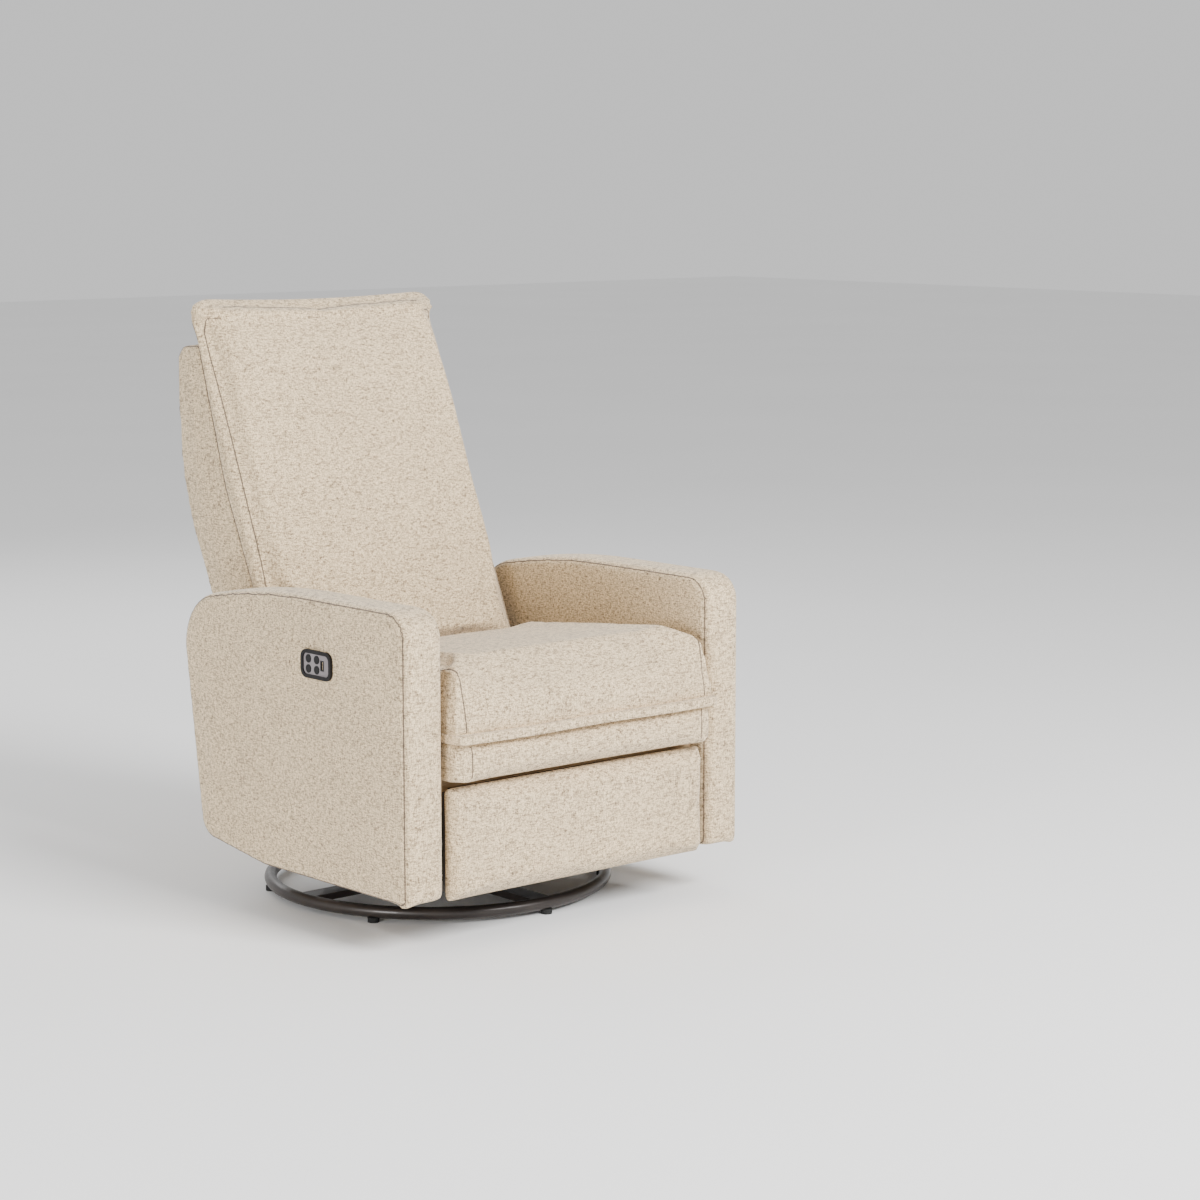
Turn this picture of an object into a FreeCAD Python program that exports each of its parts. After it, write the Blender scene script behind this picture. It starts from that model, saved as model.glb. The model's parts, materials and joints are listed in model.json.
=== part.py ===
import FreeCAD, Part
import os
import re
from math import acos, atan2, cos, degrees, pi, radians, sin, tan

# A glider nursery chair: a swivel base, a four-bar glide, an upholstered seat with two arms, a power
# footrest and a power reclining back. Front is -Y, up is +Z, and the origin is on the floor under
# the swivel axis. All lengths are in millimetres.

SIZES = {
    # overall
    "chair_front": -422, "chair_rear": 420, "back_top": 1043,
    "arm_outer": 373, "arm_thick": 81, "arm_bottom": 88, "arm_top": 567, "arm_front": -383,
    # base
    "ring_radius": 300, "ring_tube": 11, "ring_height": 19, "foot_radius": 10, "foot_height": 9,
    "spoke_width": 38, "spoke_low": 13, "spoke_thick": 12, "hub_radius": 95, "hub_thick": 8,
    "race_inner": 60, "race_outer": 90, "race_thick": 8, 
    "ball_radius": 4, "ball_circle": 75, "post_radius": 12, "post_length": 37,
    "swivel_plate_side": 260, "swivel_plate_thick": 8,
    # glide
    "upright_in": 150, "plate_thick": 5, "link_in": 157, "link_length": 110, "link_half": 11,
    "glide_pivot_side": 115, "glide_pivot_high": 190, "pin_radius": 6, "platform_in": 164,
    "tube_side": 25, "tube_low": 215,
    # seat frame
    "mechanism_in": 218, "rail_in": 255, "rail_thick": 36, "rail_front": -350, "rail_rear": 150,
    "rail_low": 225, "rail_high": 300, "cross_rail_low": 264,
    # seat upholstery
    "seat_half": 288, "roll_low": 282, "roll_high": 348, "cushion_rear": 76, "cushion_low": 303,
    "cushion_front_top": 462, "cushion_rear_top": 414,
    # footrest
    "footrest_half": 285, "footrest_low": 79, "footrest_high": 274, "footrest_front": -400,
    "board_front": -372, "board_rear": -354,
    "crank_in": 227, "coupler_in": 234, "bracket_in": 241, "crank_length": 165,
    "crank_angle": -55, "crank_pivot_y": -100, "crank_pivot_z": 262,
    "board_pivot_y": -332, "board_pivot_z": 240, "control_dy": 25, "control_dz": -40,
    "follower_part": 0.17, "drive_tube_radius": 11,
    # back
    "recline_y": 118, "recline_z": 285, "recline_pin": 8, "cushion_half": 269, "shell_half": 262,
    "shell_wall": 9, "stile_in": 215, "stile_thick": 30, "back_bracket_in": 246,
    # actuators
    "actuator_x": 60, "actuator_z": 178, "actuator_radius": 16, "actuator_rod": 7,
    "foot_lug_length": 100, "foot_lug_angle": -42.5, "back_lug_angle": -75, "lug_half": 7,
    # controls on the left arm's outer face
    "panel_y": -155, "panel_z": 458, "panel_wide": 84, "panel_high": 48, "rim_wide": 6,
    "rim_out": 5, "button_radius": 7, "button_gap_y": 23, "button_gap_z": 17,
}

MOVING_GAP = 0.05      # radial gap of every pin in its bore
OPEN_PIVOT_GAP = 0.5   # radial gap where a closed linkage is left open

os.makedirs("parts", exist_ok=True)
doc = FreeCAD.newDocument("glider_chair")
sheet = doc.addObject("Spreadsheet::Sheet", "Sizes")
for row, (alias, value) in enumerate(SIZES.items(), start=1):
    sheet.set(f"A{row}", alias)
    sheet.set(f"B{row}", str(value))
    sheet.setAlias(f"B{row}", alias)
doc.recompute()
nodes = []


# ---------------------------------------------------------------- helpers

def size(alias):
    """A driving dimension, read from the sheet."""
    return float(sheet.get(alias))


def expression(text):
    """The text with each alias written as a reference to the sheet."""
    def reference(match):
        word = match.group()
        return "Sizes." + word if word in SIZES else word
    return re.sub(r"[a-z][a-z_0-9]+", reference, str(text))


def place(obj, at):
    for axis, text in zip("xyz", at):
        obj.setExpression(f"Placement.Base.{axis}", expression(text))
    return obj


def box(name, at, lengths):
    """A block from its lowest corner and its X, Y and Z lengths."""
    obj = doc.addObject("Part::Box", name)
    for prop, text in zip(("Length", "Width", "Height"), lengths):
        obj.setExpression(prop, expression(text))
    return place(obj, at)


def rod(name, at, radius, length, axis="z"):
    """A round bar that starts at a point and runs along +X, +Y or +Z."""
    turns = {"x": (FreeCAD.Vector(0, 1, 0), 90), "y": (FreeCAD.Vector(1, 0, 0), -90),
             "z": (FreeCAD.Vector(0, 0, 1), 0)}
    obj = doc.addObject("Part::Cylinder", name)
    obj.Placement = FreeCAD.Placement(FreeCAD.Vector(), FreeCAD.Rotation(*turns[axis]))
    obj.setExpression("Radius", expression(radius))
    obj.setExpression("Height", expression(length))
    return place(obj, at)


def fuse(name, shapes):
    obj = doc.addObject("Part::MultiFuse", name)
    obj.Shapes = shapes
    return obj


def group(name, shapes):
    obj = doc.addObject("Part::Compound", name)
    obj.Links = shapes
    return obj


def cut(name, base, tools):
    obj = doc.addObject("Part::Cut", name)
    obj.Base = base
    obj.Tool = tools[0] if len(tools) == 1 else fuse(name + "_tools", tools)
    return obj


def both_sides(name, right):
    """A right-hand piece and its mirror image in the plane X = 0."""
    left = doc.addObject("Part::Mirroring", name + "_left")
    left.Source = right
    left.Normal = FreeCAD.Vector(1, 0, 0)
    return group(name, [right, left])


def node(obj, label):
    """Names one separate piece of the chair."""
    obj.Label = label
    nodes.append(obj)
    return obj


def corner_loop(corners):
    """Lines and arcs of a closed outline. Each corner is (a, b) or (a, b, radius)."""
    points = [FreeCAD.Vector(c[0], c[1], 0) for c in corners]
    radii = [c[2] if len(c) > 2 else 0 for c in corners]
    ends = []
    arcs = []
    for i, point in enumerate(points):
        to_last = (points[i - 1] - point).normalize()
        to_next = (points[(i + 1) % len(points)] - point).normalize()
        if radii[i] == 0:
            ends.append((point, point))
            continue
        half = acos(max(-1.0, min(1.0, to_last.dot(to_next)))) / 2
        reach = radii[i] / tan(half)
        first = point + to_last * reach
        last = point + to_next * reach
        centre = point + (to_last + to_next).normalize() * (radii[i] / sin(half))
        start = atan2(first.y - centre.y, first.x - centre.x)
        stop = atan2(last.y - centre.y, last.x - centre.x)
        if (stop - start) % (2 * pi) > pi:
            start, stop = stop, start
        circle = Part.Circle(centre, FreeCAD.Vector(0, 0, 1), radii[i])
        arcs.append(Part.ArcOfCircle(circle, start, stop if stop > start else stop + 2 * pi))
        ends.append((first, last))
    lines = []
    for i, (_, last) in enumerate(ends):
        following = ends[(i + 1) % len(ends)][0]
        if (following - last).Length > 1e-6:
            lines.append(Part.LineSegment(last, following))
    return lines + arcs


def bar_loop(start, stop, half_width):
    """The outline of a flat bar with round ends."""
    along = (FreeCAD.Vector(*stop, 0) - FreeCAD.Vector(*start, 0)).normalize()
    side = FreeCAD.Vector(-along.y, along.x, 0) * half_width
    a, b = FreeCAD.Vector(*start, 0), FreeCAD.Vector(*stop, 0)
    turn = atan2(side.y, side.x)
    z_axis = FreeCAD.Vector(0, 0, 1)
    return [Part.LineSegment(a + side, b + side), Part.LineSegment(a - side, b - side),
            Part.ArcOfCircle(Part.Circle(a, z_axis, half_width), turn, turn + pi),
            Part.ArcOfCircle(Part.Circle(b, z_axis, half_width), turn + pi, turn + 2 * pi)]


def side_body(name, outline, start, thickness, holes=()):
    """A PartDesign body whose (Y, Z) outline is padded along +X from start. Holes are (y, z, r)."""
    body = doc.addObject("PartDesign::Body", name)
    plane = next(f for f in body.Origin.OriginFeatures if f.Role == "YZ_Plane")
    sketch = body.newObject("Sketcher::SketchObject", name + "_outline")
    sketch.AttachmentSupport = [(plane, "")]
    sketch.MapMode = "FlatFace"
    sketch.addGeometry(outline, False)
    for y, z, radius in holes:
        circle = Part.Circle(FreeCAD.Vector(y, z, 0), FreeCAD.Vector(0, 0, 1), radius)
        sketch.addGeometry(circle, False)
    pad = body.newObject("PartDesign::Pad", name + "_pad")
    pad.Profile = sketch
    pad.setExpression("Length", expression(thickness))
    body.setExpression("Placement.Base.x", expression(start))
    return body


def wide_body(name, corners, half_width):
    """A body whose side outline runs across the chair, the same distance each way."""
    return side_body(name, corner_loop(corners), f"-({half_width})", f"2 * ({half_width})")


def pin_hole(y, z):
    return (y, z, size("pin_radius") + MOVING_GAP)


# ---------------------------------------------------------------- swivel base

def floor_glides():
    """Six rubber pucks that hold the ring off the floor."""
    pucks = []
    for i in range(6):
        at = (f"ring_radius * cos({60 * i + 30})", f"ring_radius * sin({60 * i + 30})", 0)
        puck = rod(f"glide_puck_{i}", at, "foot_radius", "foot_height")
        pucks.append(puck)
    node(cut("floor_glides_cut", group("floor_glide_pucks", pucks), [ring_torus("glide_seat")]),
         "floor_glides")


def ring_torus(name):
    torus = doc.addObject("Part::Torus", name)
    torus.setExpression("Radius1", expression("ring_radius"))
    torus.setExpression("Radius2", expression("ring_tube"))
    return place(torus, (0, 0, "ring_height"))


def base_frame():
    node(ring_torus("base_ring"), "base_ring")
    across = box("spoke_across", ("-ring_radius", "-spoke_width / 2", "spoke_low"),
                 ("2 * ring_radius", "spoke_width", "spoke_thick"))
    along = box("spoke_along", ("-spoke_width / 2", "-ring_radius", "spoke_low"),
                ("spoke_width", "2 * ring_radius", "spoke_thick"))
    node(cut("base_spokes_cut", fuse("spoke_cross", [across, along]), [ring_torus("spoke_end")]),
         "base_spokes")
    node(rod("hub_plate", (0, 0, "spoke_low + spoke_thick"), "hub_radius", "hub_thick"), "hub_plate")


def swivel_bearing():
    """Two grooved races with a ring of balls between them, round a central post."""
    low = "spoke_low + spoke_thick + hub_thick"
    high = f"{low} + race_thick + 4"
    groove = doc.addObject("Part::Torus", "ball_groove")
    groove.setExpression("Radius1", expression("ball_circle"))
    groove.setExpression("Radius2", expression("ball_radius + 0.05"))
    place(groove, (0, 0, f"{low} + race_thick + 2"))
    for name, level in (("swivel_lower_race", low), ("swivel_upper_race", high)):
        disc = rod(name + "_disc", (0, 0, level), "race_outer", "race_thick")
        bore = rod(name + "_bore", (0, 0, level), "race_inner", "race_thick")
        node(cut(name + "_cut", disc, [bore, groove]), name)
    balls = []
    for i in range(16):
        ball = doc.addObject("Part::Sphere", f"ball_{i}")
        ball.setExpression("Radius", expression("ball_radius"))
        angle = 360 / 16 * i
        place(ball, (f"ball_circle * cos({angle})", f"ball_circle * sin({angle})",
                     f"{low} + race_thick + 2"))
        balls.append(ball)
    node(group("bearing_balls", balls), "bearing_balls")
    node(rod("swivel_post", (0, 0, low), "post_radius", "post_length"), "swivel_post")
    plate_low = f"{high} + race_thick"
    plate = box("swivel_plate_blank", ("-swivel_plate_side / 2", "-swivel_plate_side / 2", plate_low),
                ("swivel_plate_side", "swivel_plate_side", "swivel_plate_thick"))
    bore = rod("swivel_plate_bore", (0, 0, plate_low), f"post_radius + {MOVING_GAP}",
               "swivel_plate_thick")
    node(cut("swivel_plate_cut", plate, [bore]), "swivel_plate")
    bars = []
    for i, end in enumerate((-1, 1)):
        at = ("-upright_in", f"{end} * (glide_pivot_side - 12) - 15",
              f"{plate_low} + swivel_plate_thick")
        bars.append(box(f"glide_crossbar_{i}", at, ("2 * upright_in", 30, 6)))
    node(group("glide_crossbars", bars), "glide_crossbars")


# ---------------------------------------------------------------- glide

def glide():
    side, high = size("glide_pivot_side"), size("glide_pivot_high")
    low = high - size("link_length")
    half = size("link_half")
    upright = corner_loop([(-side - 22, 61), (side + 22, 61), (side + 18, high + 14, 14),
                           (side - 22, high + 14, 14), (side - 45, 100, 20), (-side + 45, 100, 20),
                           (-side + 22, high + 14, 14), (-side - 18, high + 14, 14)])
    pin = size("pin_radius")
    plate = side_body("glide_upright", upright, "upright_in", "plate_thick",
                      [(-side, high, pin), (side, high, pin)])
    node(both_sides("glide_uprights", plate), "glide_uprights")
    for name, y, lower_gap in (("front", -side, MOVING_GAP), ("rear", side, OPEN_PIVOT_GAP)):
        link = side_body(f"{name}_link", bar_loop((y, low), (y, high), half), "link_in",
                         "plate_thick", [pin_hole(y, high), (y, low, pin + lower_gap)])
        node(both_sides(f"{name}_glide_links", link), f"{name}_glide_links")
    upper = [rod(f"upper_pin_{i}", ("upright_in", f"{y}", "glide_pivot_high"), "pin_radius",
                 "link_in + plate_thick + 1 - upright_in", "x") for i, y in enumerate((-side, side))]
    node(both_sides("upper_glide_pins", group("upper_pins", upper)), "upper_glide_pins")
    lower = [rod(f"lower_pin_{i}", ("link_in - 1", f"{y}", "glide_pivot_high - link_length"),
                 "pin_radius", "platform_in + plate_thick - link_in + 1", "x")
             for i, y in enumerate((-side, side))]
    node(both_sides("lower_glide_pins", group("lower_pins", lower)), "lower_glide_pins")
    top = size("tube_low")
    outline = corner_loop([(-side - 20, low - 14, 12), (side + 20, low - 14, 12),
                           (side + 20, low + 20, 12), (85, top), (-215, top), (-215, top - 25, 8),
                           (-side - 20, low + 20, 20)])
    platform = side_body("platform_plate", outline, "platform_in", "plate_thick",
                         [(-side, low, pin), (side, low, pin)])
    node(both_sides("platform_side_plates", platform), "platform_side_plates")
    tubes = [box(f"cross_tube_{i}", ("-mechanism_in", y, "tube_low"),
                 ("2 * mechanism_in", "tube_side", "tube_side")) for i, y in enumerate((-202, 45))]
    node(group("platform_cross_tubes", tubes), "platform_cross_tubes")


# ---------------------------------------------------------------- seat frame and upholstery

def seat_frame():
    y1, z1 = size("crank_pivot_y"), size("crank_pivot_z")
    y2, z2 = follower_pivot()
    outline = corner_loop([(-215, 180, 15), (95, 180, 15), (95, 299, 3), (-215, 299, 3)])
    plate = side_body("mechanism_plate", outline, "mechanism_in", "plate_thick",
                      [(y1, z1, size("drive_tube_radius") + MOVING_GAP), (y2, z2, size("pin_radius"))])
    lip = box("mechanism_lip", ("mechanism_in + plate_thick", -215, "rail_high - 4"),
              ("rail_in - mechanism_in - plate_thick", 270, 3))
    node(both_sides("mechanism_side_plates", fuse("mechanism_side", [plate, lip])),
         "mechanism_side_plates")
    rail = box("side_rail_blank", ("rail_in", "rail_front", "rail_low"),
               ("rail_thick", "rail_rear - rail_front", "rail_high - rail_low"))
    hole = rod("side_rail_bore", ("rail_in", "recline_y", "recline_z"), "recline_pin", 30, "x")
    node(both_sides("seat_side_rails", cut("side_rail", rail, [hole])), "seat_side_rails")
    pin = rod("recline_pin_right", ("back_bracket_in + 0.5", "recline_y", "recline_z"),
              "recline_pin", "rail_in + 30 - back_bracket_in - 0.5", "x")
    node(both_sides("recline_pins", pin), "recline_pins")
    cross = [box(f"cross_rail_{y}", (f"-{end}", y, "cross_rail_low"),
                 (f"2 * {end}", 24, "rail_high - cross_rail_low"))
             for y, end in (("rail_front", "rail_in"), (58, "mechanism_in"))]
    node(group("seat_cross_rails", cross), "seat_cross_rails")
    straps = [box(f"seat_strap_{i}", (f"{x} - 25", "rail_front", "rail_high"),
                  (50, "82 - rail_front", 2)) for i, x in enumerate(range(-200, 201, 80))]
    node(group("seat_webbing", straps), "seat_webbing")
    node(box("rear_apron", ("-seat_half", "rail_rear + 46", 112), ("2 * seat_half", 7, 138)),
         "rear_apron")
    node(box("power_box", ("-rail_in - 30", -60, "rail_low - 45"), (28, 120, 45)), "power_box")
    inlet = rod("inlet_barrel", ("-rail_in - 16", 60, "rail_low - 22"), 8, 10, "y")
    socket = rod("inlet_socket", ("-rail_in - 16", 62, "rail_low - 22"), 3, 8, "y")
    node(cut("power_inlet_cut", inlet, [socket]), "power_inlet")


def seat_upholstery():
    front, rear = size("chair_front"), size("cushion_rear")
    shelf = size("rail_front") - 1
    node(wide_body("seat_cushion", [
        (front + 2, size("roll_high") + 2, 3), (front + 33, size("cushion_front_top"), 32),
        (rear, size("cushion_rear_top"), 16), (rear, size("cushion_low"), 4),
        (shelf, size("cushion_low"), 3), (shelf, size("roll_high") + 2)], "seat_half"), "seat_cushion")
    node(wide_body("seat_front_roll", [
        (front, size("roll_low"), 16), (front, size("roll_high"), 8),
        (shelf - 1, size("roll_high"), 3), (shelf - 1, size("roll_low"), 3)], "seat_half"),
        "seat_front_roll")


def arms():
    """Each arm is a padded cover pulled down over a wooden board; the pocket is open below."""
    boards = []
    low, top, front = size("arm_bottom"), size("arm_top"), size("arm_front")
    outline = [(front, low, 14), (front, top, 45), (9, top, 1500), (256, 525, 95),
               (198, low + 25, 40), (20, low)]
    for side, start in (("left", "-arm_outer"), ("right", "arm_outer - arm_thick")):
        middle = "-arm_outer + arm_thick / 2" if side == "left" else "arm_outer - arm_thick / 2"
        blank = side_body(f"{side}_arm_blank", corner_loop(outline), start, "arm_thick")
        pocket = box(f"{side}_arm_pocket", (f"{middle} - 11", "arm_front + 40", "arm_bottom - 5"),
                     (22, 500, 430))
        tools = [pocket]
        if side == "left":
            tools.append(box("control_recess", ("-arm_outer - 5", "panel_y - panel_wide / 2 + 3",
                             "panel_z - panel_high / 2 + 3"), (27, "panel_wide - 6", "panel_high - 6")))
        node(cut(f"{side}_arm_cover_cut", blank, tools), f"{side}_arm_cover")
        boards.append(box(f"{side}_arm_board", (f"{middle} - 10", "arm_front + 41", "arm_bottom + 16"),
                          (20, 498, 408)))
    node(group("arm_boards", boards), "arm_boards")


# ---------------------------------------------------------------- arm controls

def button_places():
    """Name, Y offset and Z offset of each button from the middle of the panel."""
    gap_z = SIZES["button_gap_z"] / 2
    return [("footrest_up_button", 22, gap_z), ("footrest_down_button", 22, -gap_z),
            ("recline_button", 22 - SIZES["button_gap_y"], gap_z),
            ("upright_button", 22 - SIZES["button_gap_y"], -gap_z)]


def panel_outline(inset, radius):
    y, z = size("panel_y"), size("panel_z")
    wide, high = size("panel_wide") / 2 - inset, size("panel_high") / 2 - inset
    return corner_loop([(y - wide, z - high, radius), (y + wide, z - high, radius),
                        (y + wide, z + high, radius), (y - wide, z + high, radius)])


def controls():
    rim = side_body("rim_blank", panel_outline(0, 15), "-arm_outer - rim_out", "rim_out - 0.3")
    opening = side_body("rim_opening", panel_outline(size("rim_wide"), 9.5), "-arm_outer - 9", 20)
    node(cut("control_rim_cut", rim, [opening]), "control_rim")
    y, z = size("panel_y"), size("panel_z")
    holes = [(y + dy, z + dz, size("button_radius") + 0.3) for _, dy, dz in button_places()]
    plate = side_body("control_plate_blank", panel_outline(size("rim_wide") + 0.2, 9.3),
                      "-arm_outer - 2.5", 2.5, holes)
    window = box("usb_window", ("-arm_outer - 3", "panel_y - 21", "panel_z - 9"), (4, 10, 18))
    node(cut("control_plate_cut", plate, [window]), "control_plate")
    shell = box("control_case_blank", ("-arm_outer", "panel_y - panel_wide / 2 + 5",
                "panel_z - panel_high / 2 + 5"), (21, "panel_wide - 10", "panel_high - 10"))
    hollow = box("control_case_hollow", ("-arm_outer - 1", "panel_y - panel_wide / 2 + 7",
                 "panel_z - panel_high / 2 + 7"), (20, "panel_wide - 14", "panel_high - 14"))
    node(cut("control_case_cut", shell, [hollow]), "control_case")
    socket = box("usb_socket_blank", ("-arm_outer - 3", "panel_y - 20.8", "panel_z - 8.8"),
                 (18, 9.6, 17.6))
    slot = box("usb_slot", ("-arm_outer - 4", "panel_y - 18.6", "panel_z - 6.8"), (15, 5.2, 13.6))
    node(cut("usb_socket_cut", socket, [slot]), "usb_socket")
    for name, dy, dz in button_places():
        node(rod(name, ("-arm_outer - 3.5", f"panel_y + {dy}", f"panel_z + {dz}"), "button_radius",
                 6, "x"), name)


# ---------------------------------------------------------------- footrest linkage

def crank_end():
    angle = radians(size("crank_angle"))
    return (size("crank_pivot_y") + size("crank_length") * cos(angle),
            size("crank_pivot_z") + size("crank_length") * sin(angle))


def coupler_vector():
    y, z = crank_end()
    return size("board_pivot_y") - y, size("board_pivot_z") - z


def follower_pivot():
    dy, dz = coupler_vector()
    part = size("follower_part")
    return size("crank_pivot_y") + part * dy, size("crank_pivot_z") + part * dz


def footrest():
    pin = size("pin_radius")
    open_hole = pin + OPEN_PIVOT_GAP
    pivot = (size("crank_pivot_y"), size("crank_pivot_z"))
    joint = crank_end()
    board_pivot = (size("board_pivot_y"), size("board_pivot_z"))
    lug = (joint[0] + size("control_dy"), joint[1] + size("control_dz"))
    board_lug = (board_pivot[0] + size("control_dy"), board_pivot[1] + size("control_dz"))
    dy, dz = coupler_vector()
    part = size("follower_part")
    follower = follower_pivot()
    follower_end = (joint[0] + part * dy, joint[1] + part * dz)

    arm = side_body("crank_arm", bar_loop(pivot, joint, 10), "crank_in", "plate_thick",
                    [(*joint, pin)])
    tail = side_body("crank_tail", bar_loop(joint, lug, 10), "crank_in", "plate_thick",
                     [(*joint, pin), (*lug, pin)])
    eye = rod("crank_eye", ("crank_in", "crank_pivot_y", "crank_pivot_z"), 16, "plate_thick", "x")
    eye_bore = rod("crank_eye_bore", ("crank_in", "crank_pivot_y", "crank_pivot_z"),
                   "drive_tube_radius", "plate_thick", "x")
    crank = cut("crank_side", fuse("crank_blank", [arm, tail, eye]), [eye_bore])
    node(both_sides("footrest_cranks", crank), "footrest_cranks")
    tube = rod("drive_tube_bar", ("-crank_in - plate_thick", "crank_pivot_y", "crank_pivot_z"),
               "drive_tube_radius", "2 * (crank_in + plate_thick)", "x")
    node(fuse("footrest_drive_tube_fuse", [tube] + lug_pieces("foot", pivot, size("foot_lug_length"),
              size("foot_lug_angle"), "-actuator_x")), "footrest_drive_tube")
    crank_pins = [rod(f"crank_pin_{i}", ("crank_in", y, z), "pin_radius",
                      "coupler_in + plate_thick + 1 - crank_in", "x")
                  for i, (y, z) in enumerate((joint, lug))]
    node(both_sides("crank_pins", group("crank_pin_pair", crank_pins)), "crank_pins")

    coupler = side_body("coupler", bar_loop(joint, board_pivot, 9), "coupler_in", "plate_thick",
                        [pin_hole(*joint), pin_hole(*board_pivot), (*follower_end, pin)])
    stud = rod("coupler_stud", ("crank_in", *follower_end), "pin_radius",
               "coupler_in + plate_thick - crank_in", "x")
    node(both_sides("footrest_couplers", fuse("coupler_with_stud", [coupler, stud])),
         "footrest_couplers")
    second = side_body("follower_crank", bar_loop(follower, follower_end, 9), "crank_in",
                       "plate_thick", [pin_hole(*follower), (*follower_end, open_hole)])
    node(both_sides("footrest_follower_cranks", second), "footrest_follower_cranks")
    fixed_pin = rod("fixed_pin", ("mechanism_in", *follower), "pin_radius",
                    "crank_in + plate_thick - mechanism_in", "x")
    node(both_sides("footrest_fixed_pins", fixed_pin), "footrest_fixed_pins")
    control = side_body("control_bar", bar_loop(lug, board_lug, 8.5), "coupler_in", "plate_thick",
                        [pin_hole(*lug), (*board_lug, open_hole)])
    node(both_sides("footrest_control_bars", control), "footrest_control_bars")

    web = corner_loop([(-350, 150), (-350, 258), (-322, 252, 10), (-295, 205, 8), (-300, 188, 8)])
    bracket = side_body("board_bracket_web", web, "bracket_in", "plate_thick",
                        [(*board_pivot, pin), (*board_lug, pin)])
    foot = box("board_bracket_foot", ("bracket_in - 25", "board_rear", 150), (30, 4, 108))
    node(both_sides("footrest_brackets", fuse("board_bracket", [bracket, foot])),
         "footrest_brackets")
    board_pins = [rod(f"board_pin_{i}", ("coupler_in", y, z), "pin_radius",
                      "bracket_in + plate_thick - coupler_in", "x")
                  for i, (y, z) in enumerate((board_pivot, board_lug))]
    node(both_sides("footrest_board_pins", group("board_pin_pair", board_pins)),
         "footrest_board_pins")
    node(box("footrest_board", ("-footrest_half + 15", "board_front", "footrest_low + 14"),
             ("2 * footrest_half - 30", "board_rear - board_front",
              "footrest_high - footrest_low - 28")), "footrest_board")
    front, rear = size("footrest_front"), size("board_front") - 0.5
    low, high = size("footrest_low"), size("footrest_high")
    node(wide_body("footrest_cushion", [(front, low, 10), (front, high, 10), (rear, high, 4),
                                        (rear, low, 4)], "footrest_half"), "footrest_cushion")


# ---------------------------------------------------------------- actuators

def lug_pieces(name, pivot, length, angle, middle):
    """A flat lug in the plane across the tube, with a cross pin at its end."""
    end = (pivot[0] + length * cos(radians(angle)), pivot[1] + length * sin(radians(angle)))
    lug = side_body(f"{name}_lug", bar_loop(pivot, end, size("lug_half")), f"{middle} - 3", 6)
    pin = rod(f"{name}_lug_pin", (f"{middle} - 12", *end), "pin_radius", 24, "x")
    return [lug, pin]


def actuator(name, middle, pin_y, pin_low, pin_high, housing, rod_from):
    """A motor housing, and a rod whose forked end lets the lug pin rise and fall in a slot."""
    start, stop = housing
    case = rod(f"{name}_case", (middle, start, "actuator_z"), "actuator_radius", stop - start, "y")
    hanger = box(f"{name}_hanger", (f"{middle} - 8", 45, "actuator_z"), (16, 25, "tube_low - actuator_z"))
    bore = rod(f"{name}_case_bore", (middle, start - 1, "actuator_z"), "actuator_rod + 0.1",
               stop - start - 13 if rod_from == "front" else stop - start + 2, "y")
    if rod_from == "rear":
        place(bore, (middle, start + 14, "actuator_z"))
    node(cut(f"{name}_cut", fuse(f"{name}_blank", [case, hanger]), [bore]), f"{name}_actuator")
    wall, side_gap = 6, 4
    reach = size("pin_radius") + side_gap
    yoke_blank = box(f"{name}_yoke", (f"{middle} - 12", pin_y - reach - wall, pin_low - reach - 3),
                     (24, 2 * (reach + wall), pin_high - pin_low + 2 * reach + 6))
    slot = box(f"{name}_slot", (f"{middle} - 13", pin_y - reach, pin_low - reach + 3),
               (26, 2 * reach, pin_high - pin_low + 2 * reach - 6))
    lug_gap = box(f"{name}_lug_gap", (f"{middle} - 4.5", pin_y - reach - wall - 1, pin_low - reach - 4),
                  (9, 2 * (reach + wall) + 2, pin_high - pin_low + 2 * reach + 8))
    if rod_from == "front":
        bar_start, bar_stop = pin_y + reach + 2, stop - 20
    else:
        bar_start, bar_stop = start + 75, pin_y - reach - 2
    bar = rod(f"{name}_bar", (middle, bar_start, "actuator_z"), "actuator_rod", bar_stop - bar_start, "y")
    bridge_wall = wall - 2
    bridge_y = bar_start if rod_from == "front" else bar_stop - bridge_wall
    bridge = box(f"{name}_bridge", (f"{middle} - 12", bridge_y, "actuator_z - 9"),
                 (24, bridge_wall, 18))
    fork = cut(f"{name}_fork", yoke_blank, [slot, lug_gap])
    node(fuse(f"{name}_rod_fuse", [fork, bridge, bar]), f"{name}_actuator_rod")


def actuators():
    foot_y = size("crank_pivot_y") + size("foot_lug_length") * cos(radians(size("foot_lug_angle")))
    foot_high = size("crank_pivot_z") + size("foot_lug_length") * sin(radians(size("foot_lug_angle")))
    foot_low = size("crank_pivot_z") - size("foot_lug_length")
    actuator("footrest", "-actuator_x", foot_y, foot_low, foot_high, (0, 182), "front")
    length = back_lug_length()
    back_y = size("recline_y") + length * cos(radians(size("back_lug_angle")))
    back_high = size("recline_z") + length * sin(radians(size("back_lug_angle")))
    actuator("recline", "actuator_x", back_y, size("recline_z") - length, back_high, (-120, 68), "rear")


def back_lug_length():
    return size("recline_z") - size("actuator_z")


# ---------------------------------------------------------------- back

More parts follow.
